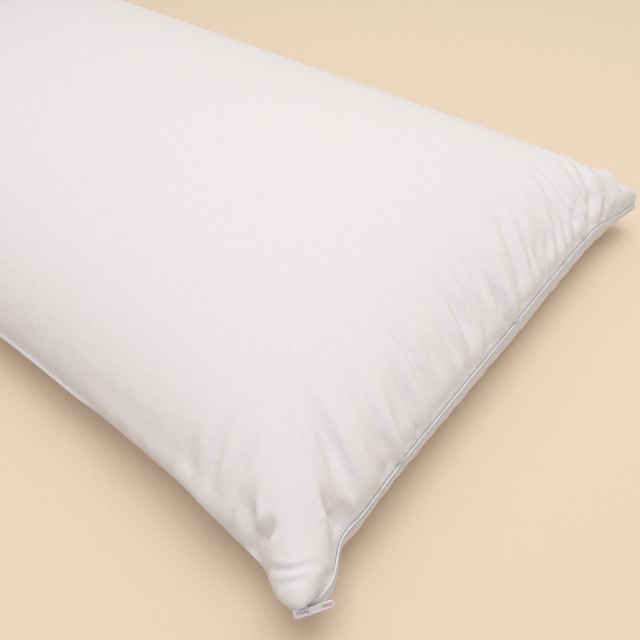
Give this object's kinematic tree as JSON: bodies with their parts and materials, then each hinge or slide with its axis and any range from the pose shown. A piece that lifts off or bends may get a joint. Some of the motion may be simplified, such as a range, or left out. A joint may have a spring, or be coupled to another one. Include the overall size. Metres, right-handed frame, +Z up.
{
  "type": "memory foam pillow",
  "caption": "Rectangular bed pillow: foam filling in a white cotton cover with drawn-in sides, puffed corners and a coil zip with slider and pull along one short side.",
  "frame": {"origin": "on the resting surface under the middle of the pillow", "axes": "+Z up, +X along the pillow to its zipped short side, +Y across it"},
  "size_m": [0.8984, 0.4876, 0.113],
  "materials": {
    "cotton_cover": "plain woven cotton, matt, white",
    "zip_tape": "woven white tape with a nylon coil",
    "slider_metal": "bright plated metal"
  },
  "bodies": {
    "root": {"pillow": "cotton_cover", "zip_chain": "zip_tape", "zip_slider": "slider_metal", "zip_pull": "slider_metal"}
  },
  "joints": []
}
